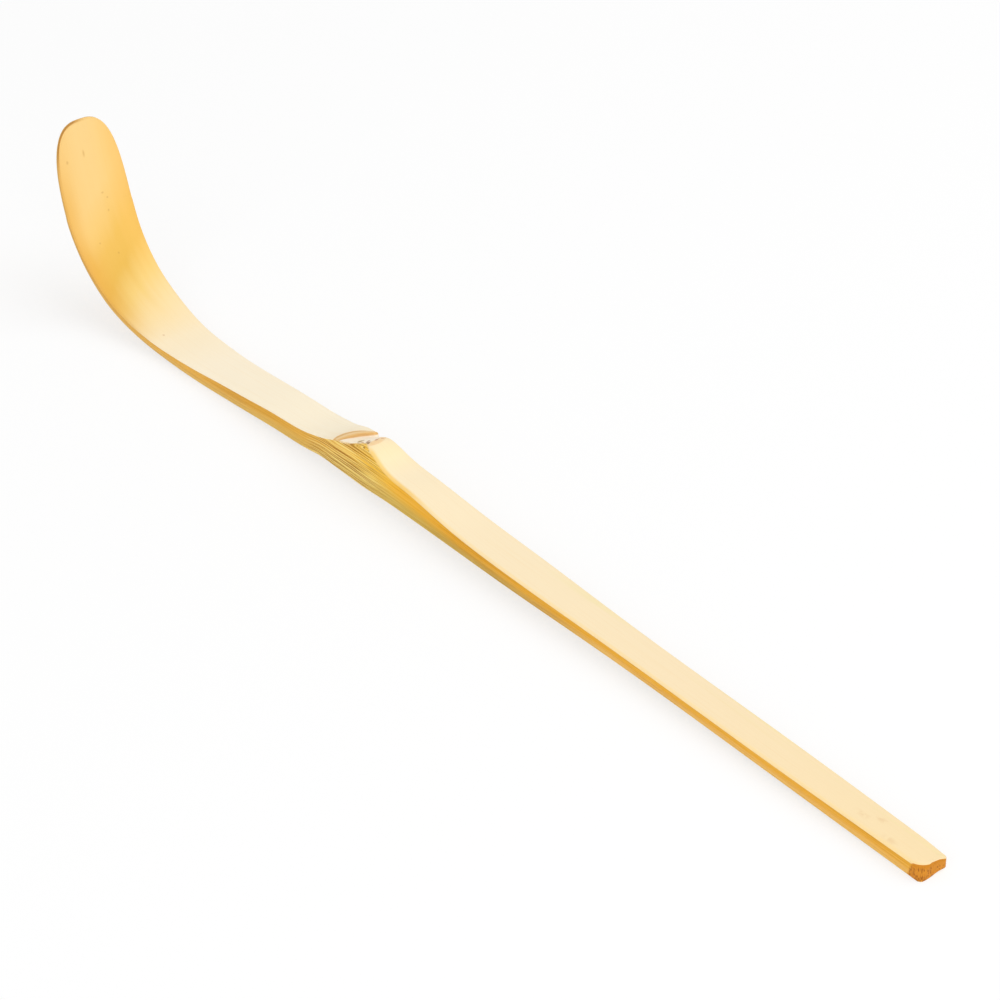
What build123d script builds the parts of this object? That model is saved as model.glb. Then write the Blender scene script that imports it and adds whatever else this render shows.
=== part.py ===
from build123d import *
import math
import os
from dataclasses import dataclass

# Tea scoop carved and heat-bent from one strip of bamboo culm, millimetres and degrees.
# The strip is drawn with its handle level, and at the end it is laid on its back.
# Across the strip is Y, and the skin side of the culm is the face that carries the powder.

# Lengths along the face, from the ridge of the node
handle_length = 101.6
scar_gap = 5.6
node_foot_length = 5.8
shaft_length = 21.2
tip_length = 12.1

# Bend of the scoop: a long sole, a lead-in, the tight bend and the nearly straight blade
shaft_fall = 5.65
sole_radius = 105.0
lead_radius = 33.2
lead_angle = 19.2
bend_radius = 16.75
bend_angle = 48.95
tip_radius = 80.0

# Heights of the face over the level of the handle, from the foot of the node to its shoulder
foot_drop = 0.10
climb_rise = 0.54
scar_rise = 1.50
band_rise = 2.12
node_rise = 2.70
shoulder_rise = 1.86
node_fade = 10.6

# Widths of the face along the handle, from the square end to the ridge
end_width = 4.20
waist_width = 4.70
grip_width = 4.86
swell_width = 5.50
neck_width = 5.30
collar_width = 4.85
shoulder_width = 4.40
node_width = 3.80

# Widths of the face from the ridge to the blade
band_width = 4.16
scar_width = 4.80
climb_width = 5.20
foot_width = 5.60
shaft_width = 6.50
sole_width = 7.60
lead_width = 9.25
blade_width = 10.35

# Width of the strip below the face at the node, where its sides flare
node_base_width = 5.65

# Thickness of the strip under the level of the handle, and how the node's extra fades
handle_depth = 1.85
node_back_drop = 2.62
back_fade = 9.5

# Thickness of the strip from the foot of the node to the tip
foot_depth = 2.85
shaft_depth = 2.15
sole_depth = 1.50
lead_depth = 1.15
bend_depth = 1.00
tip_depth = 0.42

# The scoop is pared thin from behind: what is left at its rim, and the width of the paring
lead_rim = 0.75
bend_rim = 0.40
tip_rim = 0.28
lead_paring = 1.55
rim_paring = 3.10

# Crown of the face across the handle and the node, and hollow across the scoop
handle_crown = 0.18
node_crown = 0.32
slope_crown = 0.16
shaft_crown = 0.06
lead_hollow = 0.15
scoop_hollow = 0.30
tip_hollow = 0.18

# Softened lower corners of the strip, widest where the fingers hold the handle
crisp_softening = 0.08
start_softening = 0.32
grip_softening = 0.40
shaft_softening = 0.30
end_softening = 0.28

# At the square end the face leans, its near edge raised and its far edge lowered by this
end_lean = 0.12

# The scoop wanders a little to one side as it is bent
blade_skew = 0.15
tip_skew = 0.28

# Hollow band between the lip of the sheath scar and the ridge
lip_width = 0.45
ridge_width = 0.50
band_hollow = 0.42
band_tilt = -4.3
band_yaw = -6.0

# Square end, whose corners are whittled round and whose lower edge is bevelled
near_corner_round = 2.05
near_corner_base_round = 0.70
far_corner_round = 0.90
far_corner_base_round = 0.50
corner_lead = 0.03
end_bevel = 0.38

# Rounded tip, whose outline is a power curve: a share of 1 is an ellipse, less is squarer
tip_outline_width = 10.20
tip_power_share = 0.70
tip_lead_length = 5.0
tip_lead_flare = 0.25
tip_steps = 18

# Reach of the cutting shapes past what they cut, and the allowance left on for planing
overrun = 6.0
planing_allowance = 0.10

# Steps along each edge in the search for where the strip touches the table
rest_steps = 120

# Places of the slices, as shares of the length that they divide
shaft_shares = (0, 1 / 3, 2 / 3)
sole_shares = (0, 1 / 2)
lead_shares = (0, 1 / 2)
bend_shares = (0, 1 / 4, 1 / 2, 3 / 4)
tip_shares = (0, 1 / 2, 1)
shoulder_share = 0.03
collar_share = 0.085
neck_share = 0.165
handle_start_share = 0.28
grip_share = 0.47
waist_share = 0.72
blade_axis_share = 0.60


@dataclass
class Slice:
    """One cross-section: where it stands, how it leans, and its outline across the strip."""

    x: float
    y: float
    z: float
    slope: float
    width: float
    base_width: float
    depth: float
    rim: float
    bevel: float
    crown: float
    lean: float = 0


def corners(cut: Slice):
    """The corners of a slice and the top of its crown, in the plane square to the strip."""
    half = cut.width / 2
    base = cut.base_width / 2
    foot = base - cut.bevel
    lean = math.radians(cut.slope)
    place = Plane(origin=(cut.x, cut.y, cut.z), x_dir=(0, 1, 0), z_dir=(math.cos(lean), 0, -math.sin(lean)))
    points = ((-half, cut.lean), (0, cut.crown), (half, -cut.lean), (base, -cut.rim),
              (foot, -cut.depth), (-foot, -cut.depth), (-base, -cut.rim))
    return [place.from_local_coords(Vector(across, up)) for across, up in points]


def stations(cuts):
    """How far along the strip each slice stands, as a share of the way from first to last."""
    reached = [0]
    for cut, ahead in zip(cuts, cuts[1:]):
        reached.append(reached[-1] + math.hypot(ahead.x - cut.x, ahead.z - cut.z))
    return [length / reached[-1] for length in reached]


def strip_through(cuts):
    """The solid strip through a row of slices, each corner carried along as one smooth edge."""
    places = stations(cuts)
    rails = zip(*[corners(cut) for cut in cuts])
    edges = [Wire([Edge.make_spline(rail, parameters=places)]) for rail in rails]
    face = Shell.make_loft(edges[:3])
    around = edges[2:] + edges[:1]
    sides = [Shell.make_loft(pair, ruled=True) for pair in zip(around, around[1:])]
    faces = [shell.faces()[0] for shell in [face] + sides]
    ends = [skin.edges().sort_by(SortBy.LENGTH)[:2].sort_by(Axis.X) for skin in faces]
    caps = [Face(Wire(list(ring))) for ring in zip(*ends)]
    return Solid(Shell(faces + caps))


def level_slice(x, z, widths, level, softening, crown, lean=0) -> Slice:
    """An upright slice with softened lower corners and its back at a level."""
    depth = z - level
    return Slice(x, 0, z, 0, widths[0], widths[1], depth, depth - softening, softening, crown, lean)


def handle_face(x: float) -> float:
    """Height of the face over the level of the handle, which fades away from the ridge."""
    return node_rise * math.exp(-x / node_fade)


def handle_back(x: float) -> float:
    """Level of the back near the node, where the strip is thicker."""
    return -handle_depth - (node_back_drop - handle_depth) * math.exp(-max(x, 0) / back_fade)


def face_line():
    """The line of the face from the foot of the node to the tip, drawn with Z as second axis."""
    start = (-scar_gap - node_foot_length, -foot_drop)
    fall = math.radians(shaft_fall)
    down = (-math.cos(fall), -math.sin(fall))
    shaft = Line(start, (start[0] + shaft_length * down[0], start[1] + shaft_length * down[1]))
    sole = JernArc(shaft @ 1, shaft % 1, sole_radius, -shaft_fall)
    lead = JernArc(sole @ 1, sole % 1, lead_radius, -lead_angle)
    bend = JernArc(lead @ 1, lead % 1, bend_radius, -bend_angle)
    tip = JernArc(bend @ 1, bend % 1, tip_radius, -math.degrees(tip_length / tip_radius))
    return shaft, sole, lead, bend, tip


def blend(sizes, share):
    """The size that lies a share of the way from the first size to the second."""
    return sizes[0] + (sizes[1] - sizes[0]) * share


def run_slices(curve, shares, widths, depths, rims, bevels, crowns, skews):
    """Slices along one run of the face line, each size blended from its start to its end."""
    made = []
    for share in shares:
        place = curve @ share
        along = curve % share
        slope = math.degrees(math.atan2(along.Y, -along.X))
        width = blend(widths, share)
        made.append(Slice(place.X, blend(skews, share), place.Y, slope, width, width, blend(depths, share),
                          blend(rims, share), blend(bevels, share), blend(crowns, share)))
    return made


def scoop_slices():
    """Slices from the foot of the node through the shaft and the bend to the tip."""
    shaft, sole, lead, bend, tip = face_line()
    soft = shaft_softening
    made = run_slices(shaft, shaft_shares, (foot_width, shaft_width), (foot_depth, shaft_depth),
                      (foot_depth - soft, shaft_depth - soft), (soft, soft), (shaft_crown, shaft_crown),
                      (0, 0))
    made += run_slices(sole, sole_shares, (shaft_width, sole_width), (shaft_depth, sole_depth),
                       (shaft_depth - soft, sole_depth - soft), (soft, soft), (shaft_crown, 0), (0, 0))
    made += run_slices(lead, lead_shares, (sole_width, lead_width), (sole_depth, lead_depth),
                       (sole_depth - soft, lead_rim), (soft, lead_paring), (0, -lead_hollow), (0, 0))
    made += run_slices(bend, bend_shares, (lead_width, blade_width), (lead_depth, bend_depth),
                       (lead_rim, bend_rim), (lead_paring, rim_paring), (-lead_hollow, -scoop_hollow),
                       (0, blade_skew))
    made += run_slices(tip, tip_shares, (blade_width, blade_width), (bend_depth, tip_depth),
                       (bend_rim, tip_rim), (rim_paring, rim_paring), (-scoop_hollow, -tip_hollow),
                       (blade_skew, tip_skew))
    return made


def node_slices():
    """Slices over the node, from its foot to where the back of the handle becomes flat."""
    shoulder = shoulder_share * handle_length
    collar = collar_share * handle_length
    neck = neck_share * handle_length
    made = []
    for x, z, width, crown in (
        (-scar_gap - node_foot_length / 2, climb_rise, climb_width, slope_crown),
        (-scar_gap, scar_rise, scar_width, node_crown),
        (-scar_gap / 2, band_rise, band_width, node_crown),
        (0, node_rise, node_width, node_crown),
        (shoulder, shoulder_rise, shoulder_width, slope_crown),
        (collar, handle_face(collar), collar_width, handle_crown),
        (neck, handle_face(neck), neck_width, handle_crown),
    ):
        share = max(x, 0) / (handle_start_share * handle_length)
        softening = blend((shaft_softening, crisp_softening), share)
        made.append(level_slice(x, z, (width, max(width, node_base_width)), handle_back(x), softening, crown))
    return made


def handle_slices(allowance: float):
    """Slices along the handle, with the back left proud by an allowance for planing."""
    made = []
    for share, width, softening, lean in (
        (handle_start_share, swell_width, crisp_softening, 0),
        (grip_share, grip_width, start_softening, 0),
        (waist_share, waist_width, grip_softening, 0),
        (1, end_width, end_softening, end_lean),
    ):
        x = share * handle_length
        level = -handle_depth - allowance
        made.append(level_slice(x, handle_face(x), (width, width), level, softening + allowance,
                                handle_crown, lean))
    return made


def lower_half(level: float):
    """The space under a level, as long and wide as the whole strip."""
    reach = handle_length + overrun
    block = Box(2 * reach, blade_width + overrun, overrun, align=(Align.CENTER, Align.CENTER, Align.MAX))
    return Pos(0, 0, level) * block


def handle():
    """The handle with its crowned face, its softened corners and its back planed flat."""
    return strip_through(handle_slices(planing_allowance)) - lower_half(-handle_depth)


def band_cutter():
    """The round tool that hollows the band between the lip of the sheath scar and the ridge."""
    climb = math.atan2(node_rise - scar_rise, scar_gap)
    low = Vector(-scar_gap + lip_width, 0, scar_rise + node_crown + lip_width * math.tan(climb))
    high = Vector(-ridge_width, 0, node_rise + node_crown - ridge_width * math.tan(climb))
    chord = high - low
    radius = (chord.length ** 2 / 4 + band_hollow ** 2) / (2 * band_hollow)
    middle = low + chord * (1 / 2)
    tool = Rot(90, 0, 0) * Cylinder(radius, node_base_width + overrun)
    lean = Rot(0, -math.degrees(climb), 0) * Rot(band_tilt, 0, band_yaw)
    return Pos(middle.X, 0, middle.Z) * lean * Pos(0, 0, radius - band_hollow) * tool


def tip_cutter():
    """What lies outside the rounded tip, cut square to the blade."""
    tip = face_line()[-1]
    end = tip @ 1
    along = tip % blade_axis_share
    turns = [math.pi * step / tip_steps for step in range(tip_steps + 1)]
    points = []
    for turn in turns:
        reach = math.sin(turn) ** tip_power_share
        side = math.copysign(abs(math.cos(turn)) ** tip_power_share, math.cos(turn))
        middle = blend((blade_skew, tip_skew), reach)
        points.append((tip_length * reach, side * tip_outline_width / 2 + middle))
    rounding = Spline(*points)
    flared = tip_outline_width / 2 + tip_lead_flare
    wide = flared + overrun
    ahead = tip_length + overrun
    behind = -tip_lead_length
    edge = Polyline(rounding @ 1, (behind, blade_skew - flared), (behind, -wide), (ahead, -wide),
                    (ahead, wide), (behind, wide), (behind, blade_skew + flared), rounding @ 0)
    shape = make_face(list(rounding.edges()) + list(edge.edges()))
    place = Plane(
        origin=(end.X - tip_length * along.X, 0, end.Y - tip_length * along.Y),
        x_dir=(along.X, 0, along.Y),
        z_dir=(-along.Y, 0, along.X),
    )
    return extrude(place * shape, amount=overrun, both=True)


def corner_waste(radius: float, level: float):
    """The outline of the waste outside one corner of the square end, at one level."""
    end = handle_length + corner_lead
    edge = end_width / 2 + corner_lead
    arc = RadiusArc((end, edge - radius), (end - radius, edge), -radius)
    rest = Polyline(arc @ 1, (end - radius, edge + overrun), (end + overrun, edge + overrun),
                    (end + overrun, edge - radius), arc @ 0)
    return Pos(0, 0, level) * Wire(list(arc.edges()) + list(rest.edges()))


def corner_cutter(radius: float, base_radius: float):
    """What is whittled from the far corner of the square end, between its back and its face."""
    return Solid.make_loft([corner_waste(base_radius, -handle_depth),
                            corner_waste(radius, handle_crown + end_lean)], ruled=True)


def end_cutter():
    """What the bevel takes from the lower edge of the square end."""
    middle = Pos(handle_length - end_bevel / 2, 0, -handle_depth + end_bevel / 2)
    block = Box(overrun, 2 * end_width, overrun, align=(Align.MIN, Align.CENTER, Align.CENTER))
    return middle * Rot(0, 45, 0) * block


def scoop():
    """The whole strip with its handle level."""
    start = handle_slices(0)[0]
    body = strip_through(scoop_slices()[::-1] + node_slices() + [start])
    whole = body + handle()
    whole -= band_cutter()
    whole -= tip_cutter()
    whole -= corner_cutter(far_corner_round, far_corner_base_round)
    whole -= corner_cutter(near_corner_round, near_corner_base_round).mirror(Plane.XZ)
    whole -= end_cutter()
    return whole


def laid_down(strip):
    """The strip turned to lie on its heel and its end, with its box centred over the origin."""
    end = Vector(handle_length - end_bevel, 0, -handle_depth)
    shares = [step / rest_steps for step in range(rest_steps + 1)]
    outline = [edge @ share for edge in strip.edges() for share in shares]
    dips = [math.atan2(end.Z - point.Z, end.X - point.X) for point in outline if point.X < 0]
    turned = Rot(0, math.degrees(max(dips)), 0) * strip
    box = turned.bounding_box()
    return Pos(-box.center().X, -box.center().Y, -box.min.Z) * turned


os.makedirs("parts", exist_ok=True)
part = laid_down(scoop())
export_step(part, "parts/bamboo_scoop.step")
print("solids", len(part.solids()), "volume", round(part.volume, 1))
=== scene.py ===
import logging
import math
from dataclasses import dataclass, fields
from enum import Enum

import bpy
import numpy as np
from mathutils import Matrix


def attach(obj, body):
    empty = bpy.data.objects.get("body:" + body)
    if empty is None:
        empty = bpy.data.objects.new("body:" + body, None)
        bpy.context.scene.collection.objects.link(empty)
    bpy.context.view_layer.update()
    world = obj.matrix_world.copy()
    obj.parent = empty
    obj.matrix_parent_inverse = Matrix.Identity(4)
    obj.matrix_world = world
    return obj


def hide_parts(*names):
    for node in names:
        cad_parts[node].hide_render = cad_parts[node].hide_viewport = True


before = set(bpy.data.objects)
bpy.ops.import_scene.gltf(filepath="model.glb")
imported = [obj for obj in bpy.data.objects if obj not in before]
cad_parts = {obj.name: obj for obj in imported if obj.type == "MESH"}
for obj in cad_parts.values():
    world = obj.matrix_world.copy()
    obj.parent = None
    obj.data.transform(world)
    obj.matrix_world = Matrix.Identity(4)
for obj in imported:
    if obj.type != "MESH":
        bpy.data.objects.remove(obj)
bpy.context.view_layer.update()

MM = 0.001
TINY = 1e-6

Span = tuple[float, float]
Triple = tuple[float, float, float]
Colour = Triple
Stops = tuple[tuple[float, Colour], ...]


class Ray(Enum):
    """The ways in which a surface is looked at: straight, in a shiny one and through a clear one."""

    STRAIGHT = "Is Camera Ray"
    IN_SHINY = "Is Glossy Ray"
    THROUGH_CLEAR = "Is Transmission Ray"


class Note(Enum):
    """The notes that the mesh keeps at each point for the finish, three values in each."""

    GRAIN = "grain"  # along the strip, across it, and the fibre that the point lies on
    ZONE = "zone"  # distance from the edge of the face, 1 on the back, 1 on the end grain
    SIDE = "side"  # share of the way down the side, lip widths past the scar, 1 where pared bare


@dataclass(frozen=True)
class Slice:
    """One cross-section of the strip, in millimetres: where it stands and its sizes there."""

    along: float
    rise: float
    back: float
    rim: float
    width: float
    base: float
    bevel: float
    crown: float
    skew: float = 0.0
    lean: float = 0.0

    def toward(self, other: "Slice", share: float) -> "Slice":
        """The slice that lies a share of the way to another one.

        Args:
            other: The slice at the far end.
            share: How far along, from 0 to 1.

        Returns:
            A slice with every size blended.
        """
        sizes = [getattr(self, part.name) for part in fields(self)]
        ahead = [getattr(other, part.name) for part in fields(self)]
        return Slice(*(a + (b - a) * share for a, b in zip(sizes, ahead)))


@dataclass(frozen=True)
class Pose:
    """How the strip lies: turned about its width by a tilt, then moved, in degrees and millimetres."""

    tilt: float = 1.0710450778423861
    move: Triple = (-17.07104750284477, -0.14427194593779458, 3.7424291613511875)

    def matrix(self) -> Matrix:
        """The placing matrix, from the strip's own frame in millimetres to the part in metres."""
        turned = Matrix.Rotation(math.radians(self.tilt), 4, "Y")
        return Matrix.Diagonal((MM, MM, MM, 1)) @ Matrix.Translation(self.move) @ turned


@dataclass(frozen=True)
class Scar:
    """The sheath scar and the hollow band that climbs from it to the ridge, in millimetres."""

    across: tuple[float, ...] = (-2.6, -1.8, -0.9, 0.0, 0.8, 1.6, 2.3)
    places: tuple[float, ...] = (-6.3, -6.35, -6.1, -5.55, -4.9, -4.1, -3.7)
    hollows: tuple[float, ...] = (0.0, 0.08, 0.26, 0.38, 0.46, 0.50, 0.50)
    lip_widths: tuple[float, ...] = (0.72, 1.32, 1.56, 1.40, 1.18, 0.76, 0.50)
    lip_height: float = 0.05
    lip_spread: float = 0.35
    groove_depth: float = 0.04
    groove_width: float = 0.16
    wall_run: Span = (-0.06, 0.14)
    climb_run: float = 1.15
    climb_power: float = 0.8
    ridge_place: float = -0.30
    pit_depth: float = 0.09
    pit_place: float = 0.42
    pit_width: float = 0.12
    pit_wander: tuple[Triple, ...] = ((0.10, 5.1, 0.6), (0.06, 11.7, 0.0))
    pit_beat: tuple[Span, Span] = ((8.3, 1.0), (3.1, 0.4))
    bare_places: tuple[float, ...] = (-5.9, -5.5, -4.5, -3.3, -2.6, -1.6, -1.1, -0.4, 0.8, 2.4)
    bare_edges: tuple[float, ...] = (-2.7, -2.4, -2.3, -2.05, -1.65, -1.3, -1.2, -1.5, -2.0, -2.4)
    bare_softness: float = 0.2
    bare_start: Span = (-6.0, -5.4)
    bare_finish: Span = (0.6, 1.2)

    def past(self, along: np.ndarray, across: np.ndarray) -> np.ndarray:
        """How far each point lies past the scar's first line, towards the handle."""
        return along - np.interp(across, self.across, self.places)

    def lip_width(self, across: np.ndarray) -> np.ndarray:
        """Width of the lip at places across the strip."""
        return np.interp(across, self.across, self.lip_widths)

    def lips(self, along: np.ndarray, across: np.ndarray) -> np.ndarray:
        """How far each point lies past the first line, in widths of the lip."""
        return self.past(along, across) / self.lip_width(across)

    def bare(self, along: np.ndarray, across: np.ndarray) -> np.ndarray:
        """How much of the skin is pared away to the fibres, beside the near edge of the band.

        Args:
            along: Places along the strip.
            across: Places across it.

        Returns:
            Shares, 1 where nothing of the skin is left.
        """
        edge = np.interp(along, self.bare_places, self.bare_edges)
        beside = 1 - ease(across - edge, -self.bare_softness, self.bare_softness)
        return beside * ease(along, *self.bare_start) * (1 - ease(along, *self.bare_finish))

    def hollow(self, along: np.ndarray, across: np.ndarray) -> np.ndarray:
        """Height of the band's hollow, which has a steep wall at the lip and climbs to the ridge.

        Args:
            along: Places along the strip.
            across: Places across it.

        Returns:
            Heights over the smooth face, none of them above 0.
        """
        past, lip_width = self.past(along, across), self.lip_width(across)
        depth = np.interp(across, self.across, self.hollows)
        wall = ease(past, lip_width + self.wall_run[0], lip_width + self.wall_run[1])
        to_ridge = self.ridge_place - along
        left = np.clip(to_ridge / (to_ridge + past - lip_width + TINY), 0, 1)
        left = np.where(along > self.ridge_place, 0, left)
        return -depth * wall * ease(left, 0.0, self.climb_run) ** self.climb_power

    def pits(self, along: np.ndarray, across: np.ndarray) -> np.ndarray:
        """Height of the ragged row of pits before the ridge.

        Args:
            along: Places along the strip.
            across: Places across it.

        Returns:
            Heights over the smooth face, none of them above 0.
        """
        wander = sum(size * np.sin(across * rate + phase) for size, rate, phase in self.pit_wander)
        first, second = (np.sin(across * rate + phase) for rate, phase in self.pit_beat)
        beat = 0.5 + 0.5 * first * second
        off = (along - self.ridge_place + self.pit_place + wander) / self.pit_width
        return -self.pit_depth * beat * np.exp(-off ** 2)

    def height(self, along: np.ndarray, across: np.ndarray) -> np.ndarray:
        """How much the groove, the lip, the hollow band and its pits move the face up or down.

        Args:
            along: Places along the strip.
            across: Places across it.

        Returns:
            Heights over the smooth face.
        """
        past = self.past(along, across)
        groove = -self.groove_depth * np.exp(-(past / self.groove_width) ** 2)
        off_lip = (past / self.lip_width(across) - 0.5) / self.lip_spread
        lip = self.lip_height * np.exp(-off_lip ** 2)
        pits = self.pits(along, across) * (1 - self.bare(along, across))
        return groove + lip + self.hollow(along, across) + pits


@dataclass(frozen=True)
class Fibres:
    """The fibres that the knife laid bare on the sides, in millimetres, and how proud they stand."""

    node_proud: float = 0.030
    plain_proud: float = 0.008
    seed: int = 7
    waves: int = 16
    rates: Span = (1.7, 3.7)
    slow_rates: Span = (0.2, 0.7)
    turns: Span = (0, 7)
    sway: float = 0.9
    node_start: Span = (-13.0, -8.0)
    node_finish: Span = (1.0, 9.0)

    def proud(self, along: np.ndarray, course: np.ndarray) -> np.ndarray:
        """How far the fibres stand out of the side.

        Args:
            along: Places along the strip.
            course: The fibre that each point lies on.

        Returns:
            Heights out of the side.
        """
        draw = np.random.default_rng(self.seed)
        total = np.zeros_like(course)
        for _ in range(self.waves):
            rate, phase = draw.uniform(*self.rates), draw.uniform(*self.turns)
            slow, lead = draw.uniform(*self.slow_rates), draw.uniform(*self.turns)
            bow = self.sway * np.sin(slow * along + lead)
            total += np.sin(2 * math.pi * rate * course + phase + bow)
        total /= math.sqrt(self.waves)
        near_node = ease(along, *self.node_start) * (1 - ease(along, *self.node_finish))
        return total * (self.plain_proud + (self.node_proud - self.plain_proud) * near_node)


@dataclass
class Strip:
    """The scoop, pared and bent from one blank of bamboo, in millimetres and degrees."""

    # Slices of the scoop, and how many lengths lie between one and the next
    scoop_slices: tuple[Slice, ...] = (
        Slice(-80.489, 0, -0.42, -0.28, 10.35, 10.35, 3.10, -0.18, 0.28),
        Slice(-68.389, 0, -1.00, -0.40, 10.35, 10.35, 3.10, -0.30, 0.15),
        Slice(-54.079, 0, -1.15, -0.75, 9.25, 9.25, 1.55, -0.15),
        Slice(-42.954, 0, -1.50, -1.20, 7.60, 7.60, 0.30, 0.0),
        Slice(-32.600, 0, -2.15, -1.85, 6.50, 6.50, 0.30, 0.06),
        Slice(-11.400, 0, -2.85, -2.55, 5.60, 5.60, 0.30, 0.06),
    )
    scoop_lengths: tuple[int, ...] = (2, 4, 2, 2, 3)

    # Place, rise, width and crown from the foot of the node to its ridge, and at the shoulder past it,
    # whose place is a share of the handle
    node_sizes: tuple[tuple[float, ...], ...] = (
        (-8.5, 0.54, 5.20, 0.16), (-5.6, 1.50, 4.80, 0.32), (-2.8, 2.12, 4.16, 0.32), (0.0, 2.70, 3.80, 0.32))
    shoulder_sizes: tuple[float, ...] = (0.03, 1.86, 4.40, 0.16)

    # Share of the handle and width, with the crown on the collar, and the corner and the lean beyond it
    collar_sizes: tuple[Triple, ...] = ((0.085, 4.85, 0.18), (0.165, 5.30, 0.18))
    handle_sizes: tuple[tuple[float, ...], ...] = (
        (0.28, 5.50, 0.08, 0.0), (0.47, 4.86, 0.32, 0.0), (0.72, 4.70, 0.40, 0.0), (1.0, 4.20, 0.08, 0.12))

    handle_length: float = 101.6
    handle_depth: float = 1.85
    handle_crown: float = 0.18
    node_rise: float = 2.70
    node_fade: float = 10.6
    node_back: float = 2.62
    node_base: float = 5.65
    node_soft: float = 0.30
    soft_loss: float = 0.22
    soft_share: float = 0.28
    back_fade: float = 9.5
    back_lift: float = 0.013
    paring_power: float = 1.5

    # Rounded tip: where it starts, its size, and the blade's sides that lead into it
    tip_start: float = -68.389
    tip_length: float = 12.097
    tip_half: float = 5.10
    tip_power: float = 0.70
    tip_flare: float = 0.05
    lead_start: float = -60.0
    lead_softness: float = 0.02

    # Square end: its whittled corners, each as wide on the face and on the back, and its bevel
    near_corner: Span = (2.05, 0.60)
    far_corner: Span = (0.75, 0.75)
    corner_run: float = 2.2
    corner_lead: float = 0.03
    end_lean: float = 0.12
    end_bevel: float = 0.38
    bevel_span: Span = (-1.6, 1.2)
    shoulder_run: float = 4.5
    shoulder_drop: float = 0.26
    shoulder_span: Span = (0.35, 1.3)
    near_grain: Span = (1.25, 0.65)
    far_grain: float = 0.5
    grain_blur: Span = (0.45, 0.35)

    # Line of the face: where its slope changes, and the slopes there
    bend_places: tuple[float, ...] = (-80.489, -68.389, -54.079, -42.954, -32.6, -11.4, -9.36)
    bend_slopes: tuple[float, ...] = (76.816, 68.15, 19.2, 0.0, -5.65, -5.65, 0.0)
    bend_start: float = -82
    bend_overrun: float = 1.0
    bend_steps: int = 20001

    # Mesh: stations on the tip and the end, and runs of stations with their spacing between them
    tip_stations: int = 26
    end_stations: int = 21
    node_runs: tuple[Triple, ...] = ((-13.0, -7.0, 0.16), (-7.0, 1.6, 0.085), (1.6, 12.0, 0.18))
    blade_spacing: float = 0.75
    handle_spacing: float = 1.2
    columns: int = 34
    rows: int = 70
    rounding_rows: int = 4
    bevel_columns: int = 6
    edge_round: float = 0.11
    thin_side: float = 0.05
    most_rounded: float = 0.4
    fibre_ends: Span = (0.06, 0.94)
    fibre_depths: Span = (0.9, 1.5)

    scar: Scar = Scar()
    fibres: Fibres = Fibres()

    def face_height(self, along: float) -> float:
        """Height of the handle's face over its level, which fades away from the ridge."""
        return self.node_rise * math.exp(-along / self.node_fade)

    def back_level(self, along: float) -> float:
        """Level of the back, which is lower near the node."""
        extra = self.node_back - self.handle_depth
        return -self.handle_depth - extra * math.exp(-max(along, 0) / self.back_fade)

    def slices(self) -> list[Slice]:
        """The slices from the tip to the square end.

        Returns:
            The slices in order along the strip.
        """
        made = []
        for before, after, parts in zip(self.scoop_slices, self.scoop_slices[1:], self.scoop_lengths):
            made += [before.toward(after, step / parts) for step in range(parts)]
        made.append(self.scoop_slices[-1])
        length = self.handle_length
        share, *shoulder = self.shoulder_sizes
        swollen = [*self.node_sizes, (share * length, *shoulder)]
        swollen += [(share * length, self.face_height(share * length), width, crown)
                    for share, width, crown in self.collar_sizes]
        for along, rise, width, crown in swollen:
            soft = self.node_soft - self.soft_loss * max(along, 0) / (self.soft_share * length)
            back = self.back_level(along)
            base = max(width, self.node_base)
            made.append(Slice(along, rise, back, back + soft, width, base, soft, crown))
        back = -self.handle_depth
        for share, width, soft, lean in self.handle_sizes:
            along = share * length
            made.append(Slice(along, self.face_height(along), back, back + soft, width, width,
                              soft, self.handle_crown, 0.0, lean))
        return made

    def sizes(self, along: np.ndarray) -> dict[str, np.ndarray]:
        """Every size of the slices, carried smoothly along the strip.

        Args:
            along: Places along the strip.

        Returns:
            An array for each size of a slice, at those places.
        """
        made = self.slices()
        places = np.array([cut.along for cut in made])
        return {part.name: smooth_through(places, np.array([getattr(cut, part.name) for cut in made]), along)
                for part in fields(Slice) if part.name != "along"}

    def tip_reach(self, share: np.ndarray) -> np.ndarray:
        """Reach of the rounded tip at a share of its half-width, or the other way round."""
        return (1 - np.abs(share) ** (2 / self.tip_power)) ** (self.tip_power / 2)

    def stations(self) -> tuple[np.ndarray, np.ndarray]:
        """Places of the stations along the strip, closest together where the shape changes most.

        Returns:
            The places, and the reach of the rounded tip at each as a share of its length.
        """
        turns = np.linspace(math.pi / 4, 0, self.tip_stations)[:-1]
        reaches = np.sin(turns) ** self.tip_power
        end_start = self.handle_length - self.corner_run
        runs = [(self.tip_start, self.node_runs[0][0], self.blade_spacing), *self.node_runs,
                (self.node_runs[-1][1], end_start, self.handle_spacing)]
        along = [np.linspace(a, b, round((b - a) / step), endpoint=False) for a, b, step in runs]
        quarter = np.linspace(0, math.pi / 2, self.end_stations)
        end = self.handle_length - self.corner_run * (1 - np.sin(quarter))
        along = np.concatenate([self.tip_start - self.tip_length * reaches, *along, end])
        return along, np.concatenate([reaches, np.zeros(len(along) - len(reaches))])

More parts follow.
